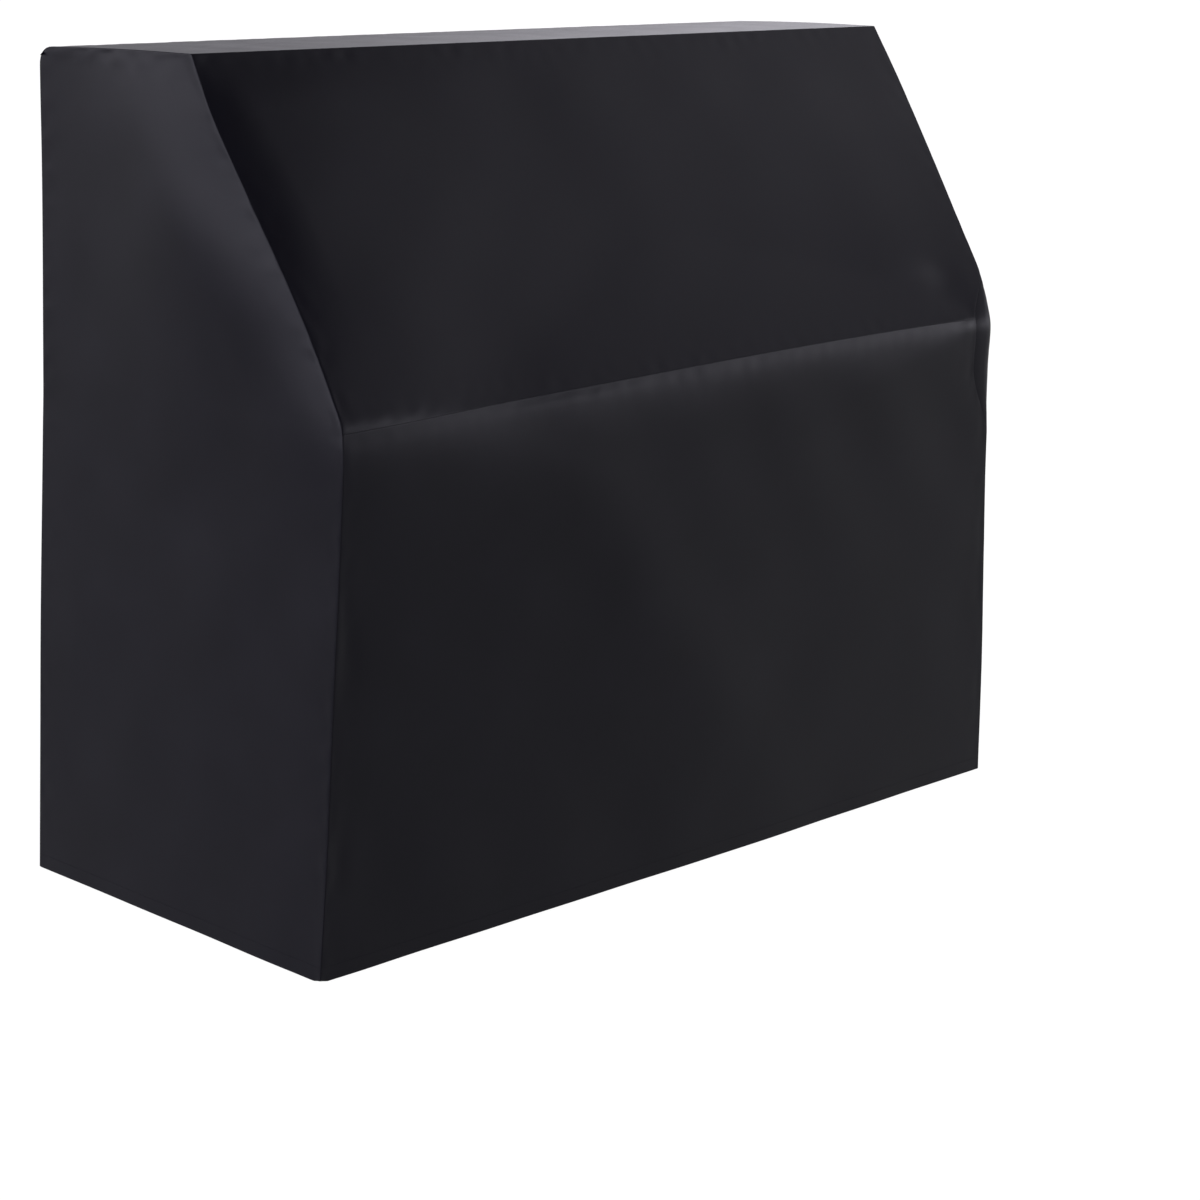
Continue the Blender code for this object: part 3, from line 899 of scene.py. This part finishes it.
def cover_cloth(settings):
    """Near-black woven cloth with a faint blue cast and a low, uneven gloss."""
    material = new_material("woven_cover_cloth")
    make = NodeMaker(material.node_tree)
    flat = make.out("ShaderNodeUVMap", uv_map="cloth")
    place = make.add("ShaderNodeTexCoord").outputs["Object"]
    weave = weave_height(make, flat, settings.weave_pitch)
    streaks = thread_streaks(make, flat)
    mottle = make.noise(place, MOTTLE_SCALE, 3.0)
    grain = make.noise(place, GRAIN_SCALE, 2.0)
    wear = make.math("MULTIPLY_ADD", streaks, STREAK_SHARE, mottle)
    dark, light = (
        (*(channel * share for channel in settings.colour), 1.0) for share in (DARK_SHARE, LIGHT_SHARE)
    )
    colour = make.add(
        "ShaderNodeMix",
        {"Factor": make.math("SUBTRACT", wear, STREAK_SHARE), "A": dark, "B": light},
        data_type="RGBA",
    )
    uneven = make.math("MULTIPLY", streaks, WEAVE_PARTS[1])
    woven = make.bump(make.math("MULTIPLY_ADD", weave, WEAVE_PARTS[0], uneven), WEAVE_BUMP)
    glossiest = settings.roughness - CLOTH_ROUGHNESS_SPREAD / 2
    make.surface(
        {
            "Base Color": colour.outputs["Result"],
            "Roughness": make.math("MULTIPLY_ADD", mottle, CLOTH_ROUGHNESS_SPREAD, glossiest),
            "Metallic": 0.0,
            "IOR": settings.gloss_index,
            "Specular Tint": (*settings.gloss_tint, 1.0),
            "Normal": make.bump(grain, GRAIN_BUMP, Normal=woven),
        }
    )
    return material


def sewing_thread(settings):
    """Twisted black thread, a touch glossier than the cloth."""
    material = new_material("black_sewing_thread")
    make = NodeMaker(material.node_tree)
    place = make.add("ShaderNodeTexCoord").outputs["Object"]
    twist = make.noise(place, TWIST_SCALE, 2.0)
    roughness = make.math("MULTIPLY_ADD", twist, THREAD_ROUGHNESS_SPREAD, THREAD_ROUGHNESS)
    make.surface(
        {
            "Base Color": (*(channel * THREAD_SHARE for channel in settings.colour), 1.0),
            "Roughness": roughness,
            "IOR": settings.gloss_index,
            "Normal": make.bump(twist, TWIST_BUMP),
        }
    )
    return material


def studio_floor(settings):
    """Pale seamless floor with a faint glow of its own, like a lit white sweep."""
    material = new_material("pale_floor")
    NodeMaker(material.node_tree).surface(
        {
            "Base Color": (*settings.floor_colour, 1.0),
            "Roughness": 0.9,
            "Specular IOR Level": 0.0,
            "Emission Color": (1.0, 1.0, 1.0, 1.0),
            "Emission Strength": settings.floor_glow,
        }
    )
    return material


# ---- Hem stitches ----

# How far the middle of a sewing thread stands out of the cloth, as a share of its thickness.
THREAD_STANDS_OUT = 0.2


def stitch_tree():
    """Geometry nodes: resample a line at the stitches' pitch and lay a thread loop at each point."""
    tree = bpy.data.node_groups.get("hem_stitches")
    if tree is not None:
        return tree
    tree = bpy.data.node_groups.new("hem_stitches", "GeometryNodeTree")
    tree.is_modifier = True
    sockets = tree.interface
    sockets.new_socket("Line", in_out="INPUT", socket_type="NodeSocketGeometry")
    for name in ("Pitch", "Stitch Length", "Thread Diameter"):
        socket = sockets.new_socket(name, in_out="INPUT", socket_type="NodeSocketFloat")
        socket.subtype = "DISTANCE"
    sockets.new_socket("Thread", in_out="INPUT", socket_type="NodeSocketMaterial")
    sockets.new_socket("Stitches", in_out="OUTPUT", socket_type="NodeSocketGeometry")
    make = NodeMaker(tree)
    start = make.add("NodeGroupInput").outputs
    line = make.out("GeometryNodeMeshToCurve", {"Mesh": start["Line"]})
    points = make.out(
        "GeometryNodeResampleCurve", {"Curve": line, "Length": start["Pitch"]}, mode="LENGTH"
    )
    size = make.out(
        "ShaderNodeCombineXYZ",
        {0: start["Thread Diameter"], 1: start["Thread Diameter"], 2: start["Stitch Length"]},
    )
    bead = make.out("GeometryNodeMeshUVSphere", {"Segments": 6, "Rings": 4, "Radius": 0.5})
    lying = {"Geometry": bead, "Scale": size, "Rotation": (0.0, math.pi / 2, 0.0)}
    loop = make.out("GeometryNodeTransform", lying)
    tangent = make.out("GeometryNodeInputTangent")
    facing = make.out("FunctionNodeAlignRotationToVector", {"Vector": tangent}, axis="X")
    placed = make.out(
        "GeometryNodeInstanceOnPoints", {"Points": points, "Instance": loop, "Rotation": facing}
    )
    real = make.out("GeometryNodeRealizeInstances", {"Geometry": placed})
    smooth = make.out("GeometryNodeSetShadeSmooth", {"Geometry": real})
    threaded = {"Geometry": smooth, "Material": start["Thread"]}
    make.add("NodeGroupOutput", {"Stitches": make.out("GeometryNodeSetMaterial", threaded)})
    return tree


def set_inputs(modifier, values):
    """A modifier's inputs, each set by its socket's identifier."""
    for item in modifier.node_group.interface.items_tree:
        if item.in_out == "INPUT" and item.name in values:
            modifier[item.identifier] = values[item.name]


def lay_stitches(name, line, normals, sewing, thread):
    """Stitches along the hem, on the outside of the cloth and on its turned-up inside."""
    out = sewing.thread_diameter * THREAD_STANDS_OUT
    inside = sewing.hem_fold + out
    places = np.concatenate([line + normals * out, line - normals * inside])
    count = len(line)
    links = [(step, step + 1) for step in range(2 * count - 1) if step != count - 1]
    piece = new_piece(name, new_mesh(name, places.tolist(), links, []))
    sewn = piece.modifiers.new("stitches", "NODES")
    sewn.node_group = stitch_tree()
    set_inputs(
        sewn,
        {
            "Pitch": sewing.stitch_pitch,
            "Stitch Length": sewing.stitch_length,
            "Thread Diameter": sewing.thread_diameter,
            "Thread": thread,
        },
    )
    make_plain(piece)
    return piece


# ---- Pieces and stage ----


def dress_panels(scene, nodes):
    """Replaces the named sheets of the frame with sewn cloth, and stitches their hems."""
    sewing = scene.cover_sewing
    cloth_finish = cover_cloth(scene.cover_cloth)
    thread = sewing_thread(scene.cover_cloth)
    sheets, stitch_lines = sew_cover(sewing)
    for node in nodes:
        panel = PANELS[node]
        points, cloth, keep = sheets[node]
        piece = new_piece(panel.piece, sheet_mesh(panel.piece, points, cloth, keep, panel.outward))
        piece.data.materials.append(cloth_finish)
        thicken(piece, sewing.thickness)
        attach(piece, "root")
        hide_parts(node)
        if node in stitch_lines:
            name = panel.piece.replace("_cloth", "_hem_stitches")
            hem = lay_stitches(name, *stitch_lines[node], sewing, thread)
            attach(hem, "root")


def build_camera(scene):
    camera = new_piece("front_left_camera", bpy.data.cameras.new("front_left_camera"))
    yaw = Matrix.Rotation(math.radians(-CAMERA_YAW), 4, "Z")
    pitch = Matrix.Rotation(math.radians(90.0 - CAMERA_PITCH), 4, "X")
    roll = Matrix.Rotation(math.radians(CAMERA_ROLL), 4, "Z")
    camera.matrix_world = Matrix.Translation(CAMERA_PLACE) @ yaw @ pitch @ roll
    camera.data.lens = CAMERA_LENS
    camera.data.clip_end = CAMERA_CLIP_END
    scene.camera = camera


def build_floor(settings):
    """A wide round floor just under the hem."""
    rim = [step * math.tau / FLOOR_SIDES for step in range(FLOOR_SIDES)]
    level = CAD_BOX[0].z - settings.hem_clearance
    reach = settings.floor_radius
    corners = [(reach * math.cos(angle), reach * math.sin(angle), level) for angle in rim]
    floor = new_piece("studio_floor", new_mesh("studio_floor", corners, [], [range(len(corners))]))
    floor.data.materials.append(studio_floor(settings))


# Soft glows in the studio round the cover: which way each lies, in degrees round from +x and up
# from level, how far it spreads each way, and how bright its middle is.
Glow = namedtuple("Glow", "round_from up half_width half_height level")
GLOWS = (
    Glow(162.0, 7.5, 40.0, 12.0, 14.0),
    Glow(-33.0, 8.0, 17.0, 9.0, 8.9),
    Glow(36.0, 18.0, 10.0, 6.0, 6.4),
)

# A softbox over the right of the front, facing the slope's middle: which way it lies from there,
# how far off, its size and how bright its face is.
SOFTBOX_AIM = (0.0, -0.32, -0.24)
SOFTBOX_ROUND_FROM = -21.0
SOFTBOX_UP = 36.0
SOFTBOX_DISTANCE = 3.1
SOFTBOX_SIZE = (2.0, 1.5)


def build_softbox(settings):
    light = bpy.data.lights.new("front_softbox", "AREA")
    light.shape = "RECTANGLE"
    light.size, light.size_y = SOFTBOX_SIZE
    light.energy = settings.softbox_level * math.pi * light.size * light.size_y
    light.color = settings.sky_tint
    softbox = new_piece("front_softbox", light)
    turn = math.radians(SOFTBOX_ROUND_FROM)
    up = math.radians(SOFTBOX_UP)
    away = Vector((math.cos(up) * math.cos(turn), math.cos(up) * math.sin(turn), math.sin(up)))
    softbox.location = Vector(SOFTBOX_AIM) + away * SOFTBOX_DISTANCE
    softbox.rotation_euler = away.to_track_quat("Z", "Y").to_euler()
    softbox.visible_camera = False


def build_world(scene, settings):
    """A dim studio with soft glows, which the camera itself sees as white."""
    world = bpy.data.worlds.new("white_studio")
    world.use_nodes = True
    make = NodeMaker(world.node_tree)
    way = make.add("ShaderNodeTexCoord").outputs["Generated"]
    split = make.add("ShaderNodeSeparateXYZ", {0: way}).outputs
    turn = make.math("ARCTAN2", split[1], split[0])
    up = make.math("ARCSINE", split[2])
    total = settings.sky_level
    for glow in GLOWS:
        aside = make.math("SUBTRACT", turn, math.radians(glow.round_from))
        aside = make.math("WRAP", aside, math.pi, -math.pi)
        aside = make.math("DIVIDE", aside, math.radians(glow.half_width))
        above = make.math("SUBTRACT", up, math.radians(glow.up))
        above = make.math("DIVIDE", above, math.radians(glow.half_height))
        spread = make.math("MULTIPLY_ADD", above, above, make.math("MULTIPLY", aside, aside))
        share = make.math("POWER", math.exp(-1.0), spread)
        total = make.math("MULTIPLY_ADD", share, glow.level * settings.glow_level, total)
    seen = make.add("ShaderNodeLightPath").outputs["Is Camera Ray"]
    lit = make.out("ShaderNodeBackground", {"Color": (*settings.sky_tint, 1.0), "Strength": total})
    shown = make.out("ShaderNodeBackground", {"Color": (1.0, 1.0, 1.0, 1.0), "Strength": 1.0})
    mixed = make.out("ShaderNodeMixShader", {0: seen, 1: lit, 2: shown})
    make.add("ShaderNodeOutputWorld", {0: mixed})
    scene.world = world


# ---- Settings, operators and the sidebar panel ----


def length_of(name, description, low, high, default):
    return FloatProperty(
        name=name, description=description, unit="LENGTH", min=low, max=high, default=default
    )


def level_of(name, description, high, default):
    return FloatProperty(name=name, description=description, min=0.0, max=high, default=default)


def colour_of(name, description, default):
    return FloatVectorProperty(
        name=name, description=description, subtype="COLOR", size=3, min=0.0, max=1.0, default=default
    )


class CoverClothSettings(bpy.types.PropertyGroup):
    colour: colour_of("Colour", "Body colour of the cloth", (0.0020, 0.0018, 0.0036))
    gloss_tint: colour_of("Gloss Tint", "Tint of the light that the cloth mirrors", (0.93, 0.94, 1.0))
    roughness: FloatProperty(
        name="Roughness", description="How widely the cloth spreads a reflection",
        subtype="FACTOR", min=0.0, max=1.0, default=0.34,
    )
    gloss_index: FloatProperty(
        name="Gloss Index", description="Refractive index that sets how much the cloth mirrors",
        min=1.0, max=2.0, default=1.155,
    )
    weave_pitch: length_of(
        "Weave Pitch", "Width of one over-and-under of the threads", 0.0001, 0.01, 0.0008
    )


class CoverSewingSettings(bpy.types.PropertyGroup):
    thickness: length_of("Cloth Thickness", "Thickness of one layer of cloth", 0.0002, 0.002, 0.00035)
    seam_gap: length_of(
        "Seam Gap", "Clearance between two panels sewn together", 0.00005, 0.001, 0.0001
    )
    roll_radius: length_of(
        "Roll Radius", "How tightly a panel's edge rolls into its seam", 0.0002, 0.004, 0.0003
    )
    seam_allowance: length_of("Seam Allowance", "Cloth left inside a seam", 0.002, 0.03, 0.010)
    hem_height: length_of(
        "Hem Height", "How far the hem is turned up on the inside", 0.005, 0.08, 0.025
    )
    hem_fold: length_of(
        "Hem Fold", "Width of the fold at the hem, outer face to outer face", 0.001, 0.006, 0.0015
    )
    stitch_pitch: length_of(
        "Stitch Pitch", "Distance from one hem stitch to the next", 0.001, 0.01, 0.0036
    )
    stitch_length: length_of(
        "Stitch Length", "Length of thread that shows of one stitch", 0.001, 0.01, 0.003
    )
    thread_diameter: length_of(
        "Thread Diameter", "Thickness of the sewing thread", 0.0001, 0.002, 0.0005
    )


class CoverStageSettings(bpy.types.PropertyGroup):
    floor_radius: length_of("Floor Radius", "Reach of the floor from the cover", 2.0, 100.0, 90.0)
    floor_colour: colour_of("Floor Colour", "Colour of the floor", (0.1, 0.1, 0.1))
    floor_glow: level_of("Floor Glow", "Light that the floor gives of its own", 4.0, 0.97)
    hem_clearance: length_of("Hem Clearance", "How far the hem hangs above the floor", 0.0, 0.1, 0.002)
    sky_level: level_of("Sky Level", "Brightness of the studio between its glows", 4.0, 0.5)
    sky_tint: colour_of("Sky Tint", "Colour of the studio, its glows and the softbox", (0.94, 0.92, 1.0))
    softbox_level: level_of("Softbox Level", "Brightness of the softbox's face", 50.0, 1.42)
    glow_level: level_of("Glow Level", "Share of the glows' full brightness", 10.0, 1.0)


class COVER_OT_stage(bpy.types.Operator):
    """Set up the camera, the pale floor, the white studio with its soft glows and the softbox"""

    bl_idname = "cover.stage"
    bl_label = "Stage"

    def execute(self, context):
        settings = context.scene.cover_stage
        build_camera(context.scene)
        build_floor(settings)
        build_world(context.scene, settings)
        build_softbox(settings)
        context.scene.view_settings.view_transform = "Standard"
        return {"FINISHED"}


class COVER_OT_front_panels(bpy.types.Operator):
    """Lay the cloth of the slope and of the lower front"""

    bl_idname = "cover.front_panels"
    bl_label = "Front Panels"

    def execute(self, context):
        dress_panels(context.scene, ("upper_front_panel", "lower_front_panel"))
        return {"FINISHED"}


class COVER_OT_end_panels(bpy.types.Operator):
    """Lay the cloth of the two ends"""

    bl_idname = "cover.end_panels"
    bl_label = "End Panels"

    def execute(self, context):
        dress_panels(context.scene, ("end_panel_left", "end_panel_right"))
        return {"FINISHED"}


class COVER_OT_top_and_back_panels(bpy.types.Operator):
    """Lay the cloth of the top and of the back"""

    bl_idname = "cover.top_and_back_panels"
    bl_label = "Top and Back Panels"

    def execute(self, context):
        dress_panels(context.scene, ("top_panel", "back_panel"))
        return {"FINISHED"}


OPERATORS = (
    COVER_OT_stage,
    COVER_OT_front_panels,
    COVER_OT_end_panels,
    COVER_OT_top_and_back_panels,
)


class COVER_PT_sidebar(bpy.types.Panel):
    """The cover's settings and the steps that build it"""

    bl_idname = "COVER_PT_sidebar"
    bl_label = "Upright Piano Cover"
    bl_space_type = "VIEW_3D"
    bl_region_type = "UI"
    bl_category = "Cover"

    def draw(self, context):
        for operator in OPERATORS:
            self.layout.operator(operator.bl_idname)
        for group in ("cover_cloth", "cover_sewing", "cover_stage"):
            settings = getattr(context.scene, group)
            box = self.layout.box()
            for name in settings.__annotations__:
                box.prop(settings, name)


SETTINGS = {
    "cover_cloth": CoverClothSettings,
    "cover_sewing": CoverSewingSettings,
    "cover_stage": CoverStageSettings,
}
CLASSES = (*SETTINGS.values(), *OPERATORS, COVER_PT_sidebar)


def register():
    for item in CLASSES:
        bpy.utils.register_class(item)
    for name, group in SETTINGS.items():
        setattr(bpy.types.Scene, name, PointerProperty(type=group))


def unregister():
    for name in SETTINGS:
        delattr(bpy.types.Scene, name)
    for item in reversed(CLASSES):
        bpy.utils.unregister_class(item)


def main():
    register()
    bpy.ops.cover.stage()
    bpy.ops.cover.front_panels()
    bpy.ops.cover.end_panels()
    bpy.ops.cover.top_and_back_panels()


if __name__ == "__main__":
    main()
